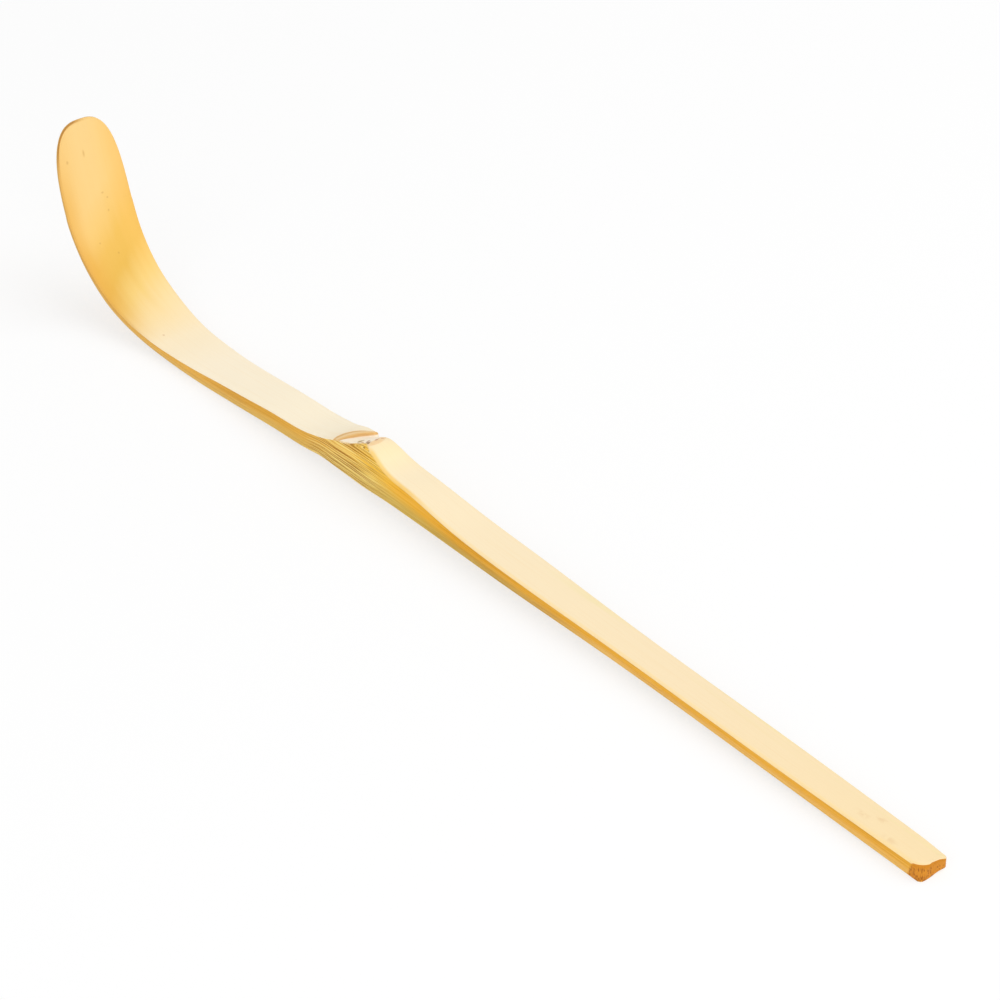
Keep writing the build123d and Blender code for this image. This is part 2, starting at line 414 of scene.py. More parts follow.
    def blank(self, stations: int) -> bpy.types.Object:
        """The blank: a sheet cut into stations and columns, thickened downwards row by row.

        Args:
            stations: How many stations there are along it.

        Returns:
            The blank, one unit long, wide and thick.
        """
        bpy.ops.object.select_all(action="DESELECT")
        bpy.ops.mesh.primitive_grid_add(x_subdivisions=stations - 1, y_subdivisions=self.columns, size=1,
                                        location=(0.5, 0.5, 1))
        piece = bpy.context.object
        piece.name = "scoop_strip"
        bpy.ops.object.mode_set(mode="EDIT")
        bpy.ops.mesh.select_all(action="SELECT")
        for _ in range(self.rows):
            bpy.ops.mesh.extrude_region_move(TRANSFORM_OT_translate={"value": (0, 0, -1 / self.rows)})
        bpy.ops.mesh.select_all(action="SELECT")
        bpy.ops.mesh.normals_make_consistent(inside=False)
        bpy.ops.object.mode_set(mode="OBJECT")
        bpy.ops.object.transform_apply(location=True, rotation=True, scale=True)
        return piece

    def face_level(self, along: np.ndarray, across: np.ndarray, skew: np.ndarray) -> np.ndarray:
        """Height of the face at places along and across.

        Args:
            along: Places along the strip.
            across: Places across it.
            skew: How far the strip's middle wanders there.

        Returns:
            The heights.
        """
        here = self.sizes(along)
        share = np.clip((across - skew) / (here["width"] / 2), -1, 1)
        worn = (ease(along, self.handle_length - self.shoulder_run, self.handle_length)
                * ease(share, *self.shoulder_span))
        return (here["rise"] + here["crown"] * (1 - share ** 2) - here["lean"] * share
                - self.shoulder_drop * worn + self.scar.height(along, across))

    def under_level(self, along: np.ndarray, across: np.ndarray, skew: np.ndarray) -> np.ndarray:
        """Level of the back at places along and across, pared up towards its rims.

        Args:
            along: Places along the strip.
            across: Places across it.
            skew: How far the strip's middle wanders there.

        Returns:
            The levels.
        """
        here = self.sizes(along)
        foot = here["base"] / 2 - here["bevel"]
        share = np.clip((np.abs(across - skew) - foot) / here["bevel"], 0, 1)
        paring = (here["rim"] - here["back"]) * share ** self.paring_power
        return here["back"] + self.back_lift + paring

    def half_width(self, along: np.ndarray, reach: np.ndarray, width: np.ndarray) -> np.ndarray:
        """Half of the face's width, with the tip and the blade's sides that lead into it.

        Args:
            along: Places along the strip.
            reach: Reach of the rounded tip at each.
            width: Width of the slices there.

        Returns:
            The half-widths.
        """
        half = width / 2
        lead = self.tip_half + self.tip_flare * (along - self.tip_start)
        leading = (along >= self.tip_start) & (along < self.lead_start)
        half = np.where(leading, -soft_max(-half, -lead, self.lead_softness), half)
        return np.where(reach > 0, self.tip_half * self.tip_reach(reach), half)

    def back_spread(self, column: np.ndarray, side: dict[str, np.ndarray]) -> np.ndarray:
        """How the columns are spread over the back, with a share of them on its pared rims.

        Args:
            column: Column of each point.
            side: The sizes at each point's station.

        Returns:
            Shares of the back's half-width, negative on the near side.
        """
        middle = self.columns / 2
        foot = (side["base"] / 2 - side["bevel"]) / (side["base"] / 2)
        from_middle = np.abs(column - middle)
        inner = middle - self.bevel_columns
        outside = foot + (1 - foot) * (from_middle - inner) / self.bevel_columns
        inside = foot * from_middle / inner
        return np.where(from_middle > inner, outside, inside) * np.sign(column - middle)

    def pared(self, index: np.ndarray) -> tuple[np.ndarray, dict[str, np.ndarray]]:
        """Where each point of the blank goes when the strip is pared, before it is bent.

        Args:
            index: The station, column and row of each point.

        Returns:
            Points as along, across and up, and what the finish needs to know of each.
        """
        station, column, row = index.T
        places, reaches = self.stations()
        middle = self.columns / 2
        u = (column - middle) / middle
        along, reach = places[station], reaches[station]
        on_tip = reach > 0
        radius = self.edge_round

        # Along: the tip's stations are arcs, and the face's edge stands back by the rounding
        cut = math.sqrt(0.5) ** self.tip_power
        lengthened = self.tip_reach(u * cut) / cut
        out = np.where(on_tip, self.tip_start - self.tip_length * reach * lengthened, along)
        inset_length = self.tip_length - radius
        inset = np.where(on_tip, self.tip_start - inset_length * reach * lengthened, out)
        end_start = self.handle_length - self.corner_run
        kept = 1 - radius / self.corner_run
        inset = np.where(along > end_start, end_start + (along - end_start) * kept, inset)

        # Across and up: the face's inset edge, its corner and the rim of the back
        side = self.sizes(along)
        skew = side["skew"]
        half = self.half_width(along, reach, side["width"])
        base = half + (side["base"] - side["width"]) / 2
        spread = self.back_spread(column, side)
        low_reach = self.tip_length * reach * self.tip_reach(spread * cut) / cut
        low = np.where(on_tip, self.tip_start - low_reach, along)
        y_in, y_out, y_low = skew + u * (half - radius), skew + u * half, skew + spread * base
        z_out, z_low = self.face_level(out, y_out, skew), self.under_level(low, y_low, skew)
        first = np.stack([inset, y_in, self.face_level(inset, y_in, skew)], 1)
        corner = np.stack([out, y_out, z_out], 1)
        rim = np.stack([low, y_low, z_low], 1)

        # Rows: the first ones round the edge, and the others go straight down the side
        drop = radius / np.maximum(z_out - z_low, self.thin_side)
        below = corner + (rim - corner) * np.minimum(drop, self.most_rounded)[:, None]
        q = np.clip(row / self.rounding_rows, 0, 1)[:, None]
        rounded = (1 - q) ** 2 * first + 2 * q * (1 - q) * corner + q ** 2 * below
        share = np.clip((row - self.rounding_rows) / (self.rows - self.rounding_rows), 0, 1)
        straight = below + (rim - below) * share[:, None]
        points = np.where(row[:, None] <= self.rounding_rows, rounded, straight)

        # Fibres stand out of the side walls
        from_side = (1 - np.abs(u)) * half
        from_tip = np.where(on_tip, self.tip_length * (reaches[0] - reach) * lengthened, from_side)
        course = (1 - share) * (z_out - z_low) + np.where(row == 0, from_side, 0.0)
        walls = ((column == 0) | (column == self.columns)) & (row > 0)
        fade = (ease(share, 0.0, self.fibre_ends[0]) * (1 - ease(share, self.fibre_ends[1], 1.0))
                * ease(-side["back"], *self.fibre_depths))
        points[:, 1] += np.sign(u) * np.where(walls, self.fibres.proud(along, course) * fade, 0.0)
        points, turned = self.whittled_end(points, side)

        last = station == len(places) - 1
        notes = {
            "course": course,
            "edge": np.minimum(from_side, from_tip) * (row < self.rounding_rows),
            "under": np.where(row == self.rows, 1.0, 0.0),
            "end": np.where(last & (row > 1), 1.0, turned * walls * (row > 1)),
            "share": share,
            "past": self.scar.lips(out, np.where(walls, y_in, points[:, 1])),
            "bare": self.scar.bare(out, points[:, 1]) * (row < self.rows),
        }
        return points, notes

    def whittled_end(self, points: np.ndarray, side: dict[str, np.ndarray]) -> tuple[np.ndarray, np.ndarray]:
        """Round the corners of the square end and bevel its lower edge.

        Args:
            points: Points as along, across and up.
            side: The sizes at each point's station.

        Returns:
            The points, moved in where the end is whittled, and how much each shows the end grain.
        """
        along, across, up = points.T
        length, half = self.handle_length, side["width"] / 2
        bevel = np.maximum(0, along - (length - self.end_bevel)) * ease(across, *self.bevel_span)
        up = up + bevel * np.clip((side["rise"] - up) / (side["rise"] - side["back"]), 0, 1)
        radii = np.where(across < 0, self.near_corner[0], self.far_corner[0])
        low_radii = np.where(across < 0, self.near_corner[1], self.far_corner[1])
        top = self.handle_crown + self.end_lean
        depth_share = np.clip((top - up) / (top + self.handle_depth), 0, 1)
        radius = radii + (low_radii - radii) * depth_share
        over = np.clip(along - (length + self.corner_lead - radius), 0, radius)
        rounding = half + self.corner_lead - radius + np.sqrt(radius ** 2 - over ** 2)
        limit = np.minimum(rounding, half)
        across = np.where(along > length - self.corner_run, across * limit / half, across)
        near_reach = self.near_grain[0] + self.near_grain[1] * depth_share
        start = length - np.where(across < 0, near_reach, self.far_grain)
        turned = ease(along, start - self.grain_blur[0], start + self.grain_blur[1])
        return np.stack([along, across, up], 1), turned

    def bent(self, points: np.ndarray) -> np.ndarray:
        """Bend the pared strip over heat, along the line of its face.

        Args:
            points: Points as along, across and up.

        Returns:
            Points in the strip's own frame.
        """
        steps = np.linspace(self.bend_start, self.handle_length + self.bend_overrun, self.bend_steps)
        slope = np.radians(np.interp(steps, self.bend_places, self.bend_slopes))
        gap = steps[1] - steps[0]
        ahead = (np.cos(slope[1:]) + np.cos(slope[:-1])) / 2 * gap
        down = (np.sin(slope[1:]) + np.sin(slope[:-1])) / 2 * gap
        x = np.concatenate([[0], np.cumsum(ahead)])
        z = np.concatenate([[0], np.cumsum(-down)])
        x -= np.interp(0, steps, x)
        z -= z[-1]
        along, across, up = points.T
        here = np.radians(np.interp(along, self.bend_places, self.bend_slopes))
        return np.stack([np.interp(along, steps, x) + up * np.sin(here), across,
                         np.interp(along, steps, z) + up * np.cos(here)], 1)

    def build(self) -> bpy.types.Object:
        """Make the whole strip.

        Returns:
            The finished piece, in its place.
        """
        places, _ = self.stations()
        piece = self.blank(len(places))
        mesh = piece.data
        flat = np.empty(len(mesh.vertices) * 3)
        mesh.vertices.foreach_get("co", flat)
        index = np.rint(flat.reshape(-1, 3) * (len(places) - 1, self.columns, self.rows)).astype(int)
        index[:, 2] = self.rows - index[:, 2]
        points, notes = self.pared(index)
        matrix = np.array(Pose().matrix())
        placed = self.bent(points) @ matrix[:3, :3].T + matrix[:3, 3]
        mesh.vertices.foreach_set("co", placed.ravel())
        keep_note(mesh, Note.GRAIN, points[:, 0], points[:, 1], notes["course"])
        keep_note(mesh, Note.ZONE, notes["edge"], notes["under"], notes["end"])
        keep_note(mesh, Note.SIDE, notes["share"], notes["past"], notes["bare"])
        bpy.ops.object.mode_set(mode="EDIT")
        bpy.ops.mesh.select_all(action="SELECT")
        bpy.ops.mesh.normals_make_consistent(inside=False)
        bpy.ops.object.mode_set(mode="OBJECT")
        bpy.ops.object.shade_smooth()
        return piece


def keep_note(mesh: bpy.types.Mesh, note: Note, *values: np.ndarray) -> None:
    """Write three values of each point where the finish can read them.

    Args:
        mesh: The mesh that the points belong to.
        note: Which of the notes it is.
        values: Three arrays, one value for each point.
    """
    layer = mesh.attributes.new(note.value, "FLOAT_VECTOR", "POINT")
    layer.data.foreach_set("vector", np.stack(values, 1).astype(np.float32).ravel())


def ease(value: np.ndarray, low: float, high: float) -> np.ndarray:
    """A smooth change from 0 below one value to 1 above another."""
    share = np.clip((value - low) / (high - low), 0, 1)
    return share * share * (3 - 2 * share)


def soft_max(a: np.ndarray, b: np.ndarray, softness: float) -> np.ndarray:
    """The larger of two sizes, with the change from one to the other rounded off."""
    return (a + b + np.sqrt((a - b) ** 2 + softness ** 2)) / 2


def smooth_through(places: np.ndarray, values: np.ndarray, at: np.ndarray) -> np.ndarray:
    """A natural cubic spline through values at places.

    Args:
        places: Where the values are given, in order.
        values: The values there.
        at: Where the spline is wanted.

    Returns:
        The spline's values.
    """
    gaps = np.diff(places)
    count = len(places)
    left = np.eye(count)
    right = np.zeros(count)
    for n in range(1, count - 1):
        left[n, n - 1:n + 2] = gaps[n - 1], 2 * (gaps[n - 1] + gaps[n]), gaps[n]
        right[n] = 6 * ((values[n + 1] - values[n]) / gaps[n] - (values[n] - values[n - 1]) / gaps[n - 1])
    bends = np.linalg.solve(left, right)
    n = np.clip(np.searchsorted(places, at) - 1, 0, count - 2)
    a, b, gap = places[n + 1] - at, at - places[n], gaps[n]
    return ((bends[n] * a ** 3 + bends[n + 1] * b ** 3) / (6 * gap)
            + (values[n] / gap - bends[n] * gap / 6) * a + (values[n + 1] / gap - bends[n + 1] * gap / 6) * b)


def tone(colour: Colour) -> tuple[float, float, float, float]:
    """A colour as a paint chart gives it, 0 to 255, turned to the amounts of light that it returns."""
    parts = [value / 255 for value in colour]
    return (*(v / 12.92 if v <= 0.04045 else ((v + 0.055) / 1.055) ** 2.4 for v in parts), 1.0)


class Signal:
    """One value or colour on its way through a material, on which sums are written as in Python."""

    def __init__(self, paint: "Paint", socket: bpy.types.NodeSocket) -> None:
        """Hold a socket and the material that it belongs to."""
        self.paint = paint
        self.socket = socket

    def __add__(self, other: "Signal | float") -> "Signal":
        """Sum."""
        return self.paint.math("ADD", self, other)

    def __radd__(self, other: float) -> "Signal":
        """Sum, with the number first."""
        return self.paint.math("ADD", other, self)

    def __sub__(self, other: "Signal | float") -> "Signal":
        """Difference."""
        return self.paint.math("SUBTRACT", self, other)

    def __rsub__(self, other: float) -> "Signal":
        """Difference, with the number first."""
        return self.paint.math("SUBTRACT", other, self)

    def __mul__(self, other: "Signal | float") -> "Signal":
        """Product."""
        return self.paint.math("MULTIPLY", self, other)

    def __rmul__(self, other: float) -> "Signal":
        """Product, with the number first."""
        return self.paint.math("MULTIPLY", other, self)

    def __abs__(self) -> "Signal":
        """Size without sign."""
        return self.paint.math("ABSOLUTE", self)

    def most(self, other: "Signal | float") -> "Signal":
        """The larger of two values."""
        return self.paint.math("MAXIMUM", self, other)

    def rising(self, low: float, high: float) -> "Signal":
        """A smooth change from 0 at one value to 1 at another."""
        return self.paint.node("ShaderNodeMapRange", {"interpolation_type": "SMOOTHSTEP"},
                               {"Value": self, "From Min": low, "From Max": high})

    def falling(self, low: float, high: float) -> "Signal":
        """A smooth change from 1 at one value to 0 at another."""
        return self.rising(high, low)

    def close_to(self, place: "Signal | float", width: float) -> "Signal":
        """1 at a place, falling smoothly to 0 at a width from it."""
        return abs(self - place).falling(0.0, width)


@dataclass
class Paint:
    """A material in the making."""

    tree: bpy.types.NodeTree

    def node(self, kind: str, settings: dict | None = None, values: dict | None = None,
             output: int | str = 0) -> Signal:
        """Add one node.

        Args:
            kind: The node's type.
            settings: Its settings, and a ramp's stops under "stops".
            values: Values or links of its sockets, by name or number.
            output: Which of its outputs is wanted.

        Returns:
            That output.
        """
        made = self.tree.nodes.new(kind)
        for name, value in (settings or {}).items():
            if name == "stops":
                ramp = made.color_ramp
                for place, colour in value[1:-1]:
                    ramp.elements.new(place).color = colour
                for element, stop in ((ramp.elements[0], value[0]), (ramp.elements[-1], value[-1])):
                    element.position, element.color = stop
            else:
                setattr(made, name, value)
        for name, value in (values or {}).items():
            if isinstance(value, Signal):
                self.tree.links.new(value.socket, made.inputs[name])
            else:
                made.inputs[name].default_value = value
        return Signal(self, made.outputs[output])

    def math(self, operation: str, *values: "Signal | float") -> Signal:
        """One sum on values."""
        return self.node("ShaderNodeMath", {"operation": operation}, dict(enumerate(values)))

    def vector(self, x: "Signal | float", y: "Signal | float", z: "Signal | float") -> Signal:
        """Three values as one place."""
        return self.node("ShaderNodeCombineXYZ", None, {"X": x, "Y": y, "Z": z})

    def spots(self, place: Signal) -> Signal:
        """Distance to the nearest of many scattered spots."""
        values = {"Vector": place, "Scale": 1.0}
        return self.node("ShaderNodeTexVoronoi", {"feature": "F1"}, values, "Distance")

    def mix(self, first: "Signal | Colour", second: "Signal | Colour", share: "Signal | float") -> Signal:
        """Lay one colour over another.

        Args:
            first: The colour below.
            second: The colour on top.
            share: How much of the top colour shows.

        Returns:
            The colour seen.
        """
        low, top = (tone(colour) if isinstance(colour, tuple) else colour for colour in (first, second))
        return self.node("ShaderNodeMix", {"data_type": "RGBA"}, {0: share, 6: low, 7: top}, 2)

    def seen(self) -> Signal:
        """1 where the surface is looked at in any way, and 0 for the light that it sends on."""
        straight, shiny, clear = (self.node("ShaderNodeLightPath", None, None, ray.value) for ray in Ray)
        return straight.most(shiny).most(clear)

    def note(self, note: Note) -> list[Signal]:
        """The three values that the mesh keeps at each point in one of its notes.

        Args:
            note: Which of the notes it is.

        Returns:
            The values, in the order in which they were kept.
        """
        settings = {"attribute_type": "GEOMETRY", "attribute_name": note.value}
        place = self.node("ShaderNodeAttribute", settings, None, "Vector")
        split = self.node("ShaderNodeSeparateXYZ", None, {0: place})
        return [Signal(self, output) for output in split.socket.node.outputs]


@dataclass(frozen=True)
class Chance:
    """Smooth chance around a half: its patches to the millimetre along and across, and its kind."""

    along: float
    across: float
    layer: float = 0.0
    detail: float = 2.0
    roughness: float = 0.5

    def on(self, along: Signal, across: "Signal | float") -> Signal:
        """The chance at places along and across, or on another pair of values.

        Args:
            along: The first value.
            across: The second value.

        Returns:
            The chance, around a half.
        """
        place = along.paint.vector(along * self.along, across * self.across, self.layer)
        values = {"Vector": place, "Scale": 1.0, "Detail": self.detail, "Roughness": self.roughness}
        return along.paint.node("ShaderNodeTexNoise", {"noise_dimensions": "3D"}, values)


@dataclass
class Skin:
    """What the finish knows of each point, in millimetres and shares, and the run of the grain there."""

    paint: Paint
    streaks: Chance = Chance(0.05, 5.0, 0.0, 3.0, 0.6)
    bundles: Chance = Chance(0.06, 4.6, 1.0, 2.0, 0.6)
    threads: Chance = Chance(0.12, 8.5, 5.0, 1.0)

    def __post_init__(self) -> None:
        """Read the mesh's notes and lay out the grain."""
        self.along, self.across, self.course = self.paint.note(Note.GRAIN)
        self.edge, self.under, self.end = self.paint.note(Note.ZONE)
        self.share, self.past, self.bare = self.paint.note(Note.SIDE)
        self.streak = self.streaks.on(self.along, self.across)
        self.bundle = self.bundles.on(self.along, self.course)
        self.thread = self.threads.on(self.along, self.course)


@dataclass(frozen=True)
class Coat:
    """A colour that comes in over a span of some value, and how much of it shows past the span."""

    colour: Colour
    span: Span
    share: float = 1.0

    def over(self, below: "Signal | Colour", value: Signal, within: "Signal | float" = 1.0) -> Signal:
        """Lay the colour over another one, by the value and within a mask."""
        return value.paint.mix(below, self.colour, value.rising(*self.span) * (within * self.share))


@dataclass(frozen=True)
class FaceLayer:
    """A colour laid over part of the face: its spans along, across and in from the edge."""

    colour: Colour
    share: float
    along: tuple[Span, ...]
    across: Span
    kept: float = 0.0
    edge: Span | None = None

    def over(self, face: Signal, skin: Skin) -> Signal:
        """Lay the colour over the face.

        Args:
            face: The face's colour so far.
            skin: What the finish knows of each point.

        Returns:
            The face's colour with this one over it.
        """
        shown = self.kept + skin.across.rising(*self.across) * (1 - self.kept)
        for span in self.along:
            shown = shown * skin.along.rising(*span)
        if self.edge:
            shown = shown * skin.edge.rising(*self.edge)
        return skin.paint.mix(face, self.colour, shown * self.share)


@dataclass(frozen=True)
class Mark:
    """A small mark on the face: its place, its half-length and half-width, and its colour."""

    along: float
    across: float
    long: float
    wide: float
    colour: Colour = (196, 140, 62)

    def over(self, face: Signal, skin: Skin, span: Span, share: float,
             ragged: "Signal | float" = 0.0) -> Signal:
        """Lay the mark over the face.

        Args:
            face: The face's colour so far.
            skin: What the finish knows of each point.
            span: Where it fades out, in its own half-sizes.
            share: How much of its colour shows.
            ragged: What its outline wanders by.

        Returns:
            The face's colour with the mark over it.
        """
        ahead, beside = skin.along - self.along, skin.across - self.across
        square = ahead * ahead * (1 / self.long ** 2) + beside * beside * (1 / self.wide ** 2)
        away = skin.paint.math("SQRT", square) + ragged
        return skin.paint.mix(face, self.colour, away.falling(*span) * share)


@dataclass(frozen=True)
class FibreTone:
    """Dark or light fibres: their colour, where chance puts them, and how strong they are."""

    colour: Colour
    span: Span
    plain: float
    at_node: float

    def over(self, side: Signal, chance: Signal, node: Signal) -> Signal:
        """Lay the fibres over the side, stronger at the node."""
        share = self.plain + node * self.at_node
        return side.paint.mix(side, self.colour, chance.rising(*self.span) * share)


@dataclass(frozen=True)
class Bamboo:
    """Scraped bamboo: a cream face toasted gold at the bend, partly as painted shade, with painted highlights
    and shade on the blade and the scar, a painted highlight along the near edge, golden sides, a straw back,
    brown end grain.
    """

    length: float = 182.1
    tip: float = -80.5

    # Face: colours along the strip, whose gold at the bend is partly toast and partly painted shade, how far
    # they slant and wander on the scoop, and what lies over them, with painted highlights and shade among
    # that
    face_stops: Stops = (
        (-80.5, (243, 206, 136)), (-70.0, (243, 205, 132)), (-66.0, (239, 197, 113)), (-63.0, (232, 185, 84)),
        (-59.5, (227, 180, 74)), (-55.5, (240, 204, 120)), (-51.0, (249, 222, 164)), (-45.0, (252, 235, 200)),
        (-36.0, (255, 242, 215)), (-9.0, (255, 243, 216)), (1.5, (252, 230, 184)), (6.0, (252, 234, 198)),
        (62.0, (250, 228, 188)), (101.6, (249, 224, 176)))
    scoop_end: Span = (-56.0, -44.0)
    face_slant: float = 0.8
    face_wander: float = 2.5
    clouds: Chance = Chance(0.03, 0.9, 4.0)
    streaked: Coat = Coat((240, 190, 92), (0.45, 0.75), 0.10)
    toasts_and_shade: tuple[FaceLayer, ...] = (
        # Painted shade: gold over the blade's far side, which leaves a painted highlight left of its middle
        FaceLayer((250, 200, 105), 0.35, ((-52.0, -62.0),), (0.5, 4.6)),
        # Toast and painted shade: deep gold over the near side of the bend and along the blade's near edge
        FaceLayer((226, 168, 62), 0.6, ((-78.0, -68.0), (-54.0, -62.0)), (-2.2, -4.8)),
        FaceLayer((226, 168, 62), 0.55, ((-66.0, -60.0), (-44.0, -56.0)), (-0.6, -4.6)))
    # Painted shade: the blade turns gold away from a middle line, which leaves a painted highlight along it
    painted_blade_shade: Coat = Coat((238, 186, 94), (1.2, 4.8), 0.4)
    blade_highlight_middle: float = 0.5
    blade_shade_end: Span = (-70.0, -62.0)
    edges: tuple[FaceLayer, ...] = (
        FaceLayer((214, 160, 76), 0.5, ((-44.0, -56.0),), (2.0, -0.5), 0.2, (0.4, 0.02)),
        FaceLayer((176, 118, 42), 0.85, ((-73.0, -78.0),), (0.8, -1.2), 0.0, (0.26, 0.04)),
        # Painted highlight: a pale line along the near edge of the handle's face, faint on the far edge
        FaceLayer((252, 220, 150), 0.55, ((1.0, 6.0),), (1.0, 0.0), 0.2, (0.45, 0.12)),
        FaceLayer((250, 204, 104), 0.8, ((-0.8, 1.0), (15.0, 8.0)), (-0.4, -1.2), 0.0, (0.65, 0.05)))
    straw: Coat = Coat((240, 226, 150), (0.42, 0.60), 0.32)
    straw_start: Span = (28.0, 42.0)
    straw_side: Span = (0.2, 2.2)

    # Marks on the face: specks of the skin and smudges near the end
    specks: tuple[Mark, ...] = (
        Mark(-75.8, -0.23, 0.5, 0.16), Mark(-75.3, -2.96, 0.25, 0.18), Mark(-69.9, 1.22, 0.14, 0.2),
        Mark(-69.1, 1.76, 0.12, 0.15), Mark(-67.4, 1.45, 0.16, 0.14), Mark(-63.6, -1.46, 0.14, 0.15),
        Mark(-61.6, 0.56, 0.16, 0.14), Mark(-46.4, -1.76, 0.2, 0.17))
    speck_span: Span = (0.2, 1.5)
    speck_share: float = 0.42
    smudges: tuple[Span, ...] = ((90.65, -0.56), (92.53, 0.43), (95.8, -1.3))
    smudge_size: Span = (1.6, 0.65)
    smudge_chance: Chance = Chance(0.9, 1.1, 9.0)
    smudged: Coat = Coat((222, 176, 110), (0.38, 0.60), 0.3)

    # Sides: gold above and paler below, with the fibres as dark and light lines
    side_stops: Stops = (
        (-80.5, (212, 160, 70)), (-60.0, (220, 166, 78)), (-46.0, (234, 176, 72)), (-20.0, (226, 166, 48)),
        (-5.0, (236, 182, 74)), (2.0, (255, 204, 70)), (8.0, (246, 181, 38)), (20.0, (230, 164, 26)),
        (50.0, (236, 172, 44)), (101.6, (232, 168, 44)))
    low_stops: Stops = (
        (-80.5, (222, 184, 118)), (-46.0, (232, 186, 100)), (-12.0, (224, 182, 88)), (-3.0, (226, 195, 104)),
        (10.0, (209, 174, 78)), (26.0, (192, 150, 62)), (50.0, (236, 184, 96)), (101.6, (236, 184, 92)))
    low_span: Span = (0.25, 0.85)
    low_wander: float = 0.25
    low_chance: Chance = Chance(0.12, 0.0, 2.0, 1.0)
    bundle_tones: tuple[FibreTone, ...] = (
        FibreTone((176, 116, 20), (0.53, 0.60), 0.20, 0.50),
        FibreTone((255, 224, 132), (0.47, 0.40), 0.12, 0.60))
    thread_tones: tuple[FibreTone, ...] = (
        FibreTone((158, 100, 18), (0.53, 0.61), 0.10, 0.62),
        FibreTone((255, 228, 138), (0.47, 0.39), 0.05, 0.60))
    node_start: Span = (-13.0, -9.0)
    node_finish: Span = (0.0, 6.0)

    # Back: straw, with brown dashes, and gold under the scoop
    back_colour: Colour = (236, 206, 144)
    dashed: Coat = Coat((205, 160, 92), (0.56, 0.70), 0.7)
    dash_chance: Chance = Chance(0.22, 4.2, 7.0, 2.0, 0.6)
    scoop_back: Coat = Coat((226, 172, 84), (-46.0, -58.0), 0.5)

    # End grain: orange-brown with the bundles as dots, darker rays at the near corner and a rich rim
    dot_colour: Colour = (156, 88, 12)
    dot_rates: Triple = (4.2, 3.4, 4.0)
    dot_layer: float = 3.0
    between_dots: Coat = Coat((213, 138, 34), (0.12, 0.50))
    rays: Coat = Coat((152, 88, 10), (0.48, 0.64), 0.65)
    ray_chance: Chance = Chance(3.6, 1.6, 8.0, 2.0, 0.6)
    ray_side: Span = (-1.8, 0.6)
    rim: Coat = Coat((206, 130, 16), (0.30, 0.06), 0.85)

    # Scar: a tan lip with a painted highlight on its crest, between two brown lines that are partly painted
    # shade at the lip's feet, a pinkish band, and a tan chamfer with pits at the ridge
    lip_colour: Colour = (234, 188, 118)
    # Painted highlight along the crest of the lip
    lip_highlight: Coat = Coat((252, 222, 170), (0.35, 0.0), 0.6)
    band_colour: Colour = (255, 241, 216)
    band_patches: Coat = Coat((248, 216, 176), (0.5, 0.75), 0.4)
    band_chance: Chance = Chance(1.3, 2.3, 6.0, 3.0, 0.6)
    band_start: Span = (1.02, 1.14)
    # Brown lines at the lip's two feet, partly the scar's own colour and partly painted shade in these
    # creases
    lines: tuple[tuple[float, Coat], ...] = (
        (0.0, Coat((196, 144, 80), (0.18, 0.0), 0.5)), (1.02, Coat((192, 136, 74), (0.15, 0.0), 0.5)))
    line_fade: Span = (0.6, 1.8)
    line_loss: float = 0.6
    chamfer: Coat = Coat((246, 204, 138), (-1.25, -0.85), 0.5)
    ridge_off: float = 0.2
    ridge_bow: float = 0.27
    ridge_lead: float = 0.15
    ridge_span: Span = (-0.12, 0.08)
    raggedness: float = 2.2
    scar_marks: tuple[Mark, ...] = (
        Mark(-2.55, -1.02, 0.36, 0.42, (172, 142, 70)), Mark(-1.95, -1.22, 0.34, 0.16, (202, 152, 92)),
        Mark(-1.10, -1.11, 0.26, 0.52, (122, 78, 34)), Mark(-1.42, -0.70, 0.20, 0.36, (164, 112, 56)),
        Mark(-0.90, 0.16, 0.15, 0.34, (190, 120, 82)), Mark(-0.83, 1.04, 0.12, 0.30, (196, 132, 92)),
        Mark(-1.05, 0.60, 0.10, 0.22, (206, 152, 100)))
    mark_span: Span = (0.4, 1.3)
    mark_share: float = 0.8
    scar_start: Span = (-0.35, -0.1)
    scar_depth: Span = (0.0, 0.03)
    bare_rim: Coat = Coat((240, 208, 142), (0.05, 0.55), 0.8)
    bare_depth: Span = (0.0, 0.01)

    # Where one zone goes over into the next
    side_start: Span = (0.0, 0.015)
    back_start: Span = (0.2, 0.9)
    end_start: Span = (0.1, 0.9)
    bare_start: Span = (0.4, 1.0)

    # Surface: satin on the skin, rougher on the sides, with the grain as a faint relief
    skin_depth: Span = (0.0, 0.10)
    roughness: float = 0.42
    side_roughness: float = 0.16
    streak_roughness: float = 0.08
    gloss: float = 0.25
    streak_relief: float = 0.25
    bundle_relief: float = 1.2
    thread_relief: float = 0.6
    relief_strength: float = 0.5
    relief_depth: float = 0.00006

    def ramp(self, place: Signal, stops: Stops) -> Signal:
        """A colour that changes along the strip.

        Args:
            place: Place along the strip.
            stops: Places and the colours there.

        Returns:
            The colour.
        """
        share = (place - self.tip) * (1 / self.length)
        settings = {"stops": [((at - self.tip) / self.length, tone(colour)) for at, colour in stops]}
        return place.paint.node("ShaderNodeValToRGB", settings, {0: share})

    def face(self, skin: Skin) -> Signal:
        """Colour of the face: cream, toasted at the bend and partly painted shade there, with a painted
        highlight and painted shade on the blade, a painted highlight along the near edge, faint streaks,
        specks and smudges.

        Args:
            skin: What the finish knows of each point.

        Returns:
            The colour.
        """
        along, across = skin.along, skin.across
        scoop = along.falling(*self.scoop_end)
        cloud = self.clouds.on(along, across)
        slanted = along + across * self.face_slant * scoop + (cloud - 0.5) * self.face_wander * scoop
        face = self.streaked.over(self.ramp(slanted, self.face_stops), skin.streak)
        # Toast and painted shade on the bend and the blade
        for overlay in self.toasts_and_shade:
            face = overlay.over(face, skin)
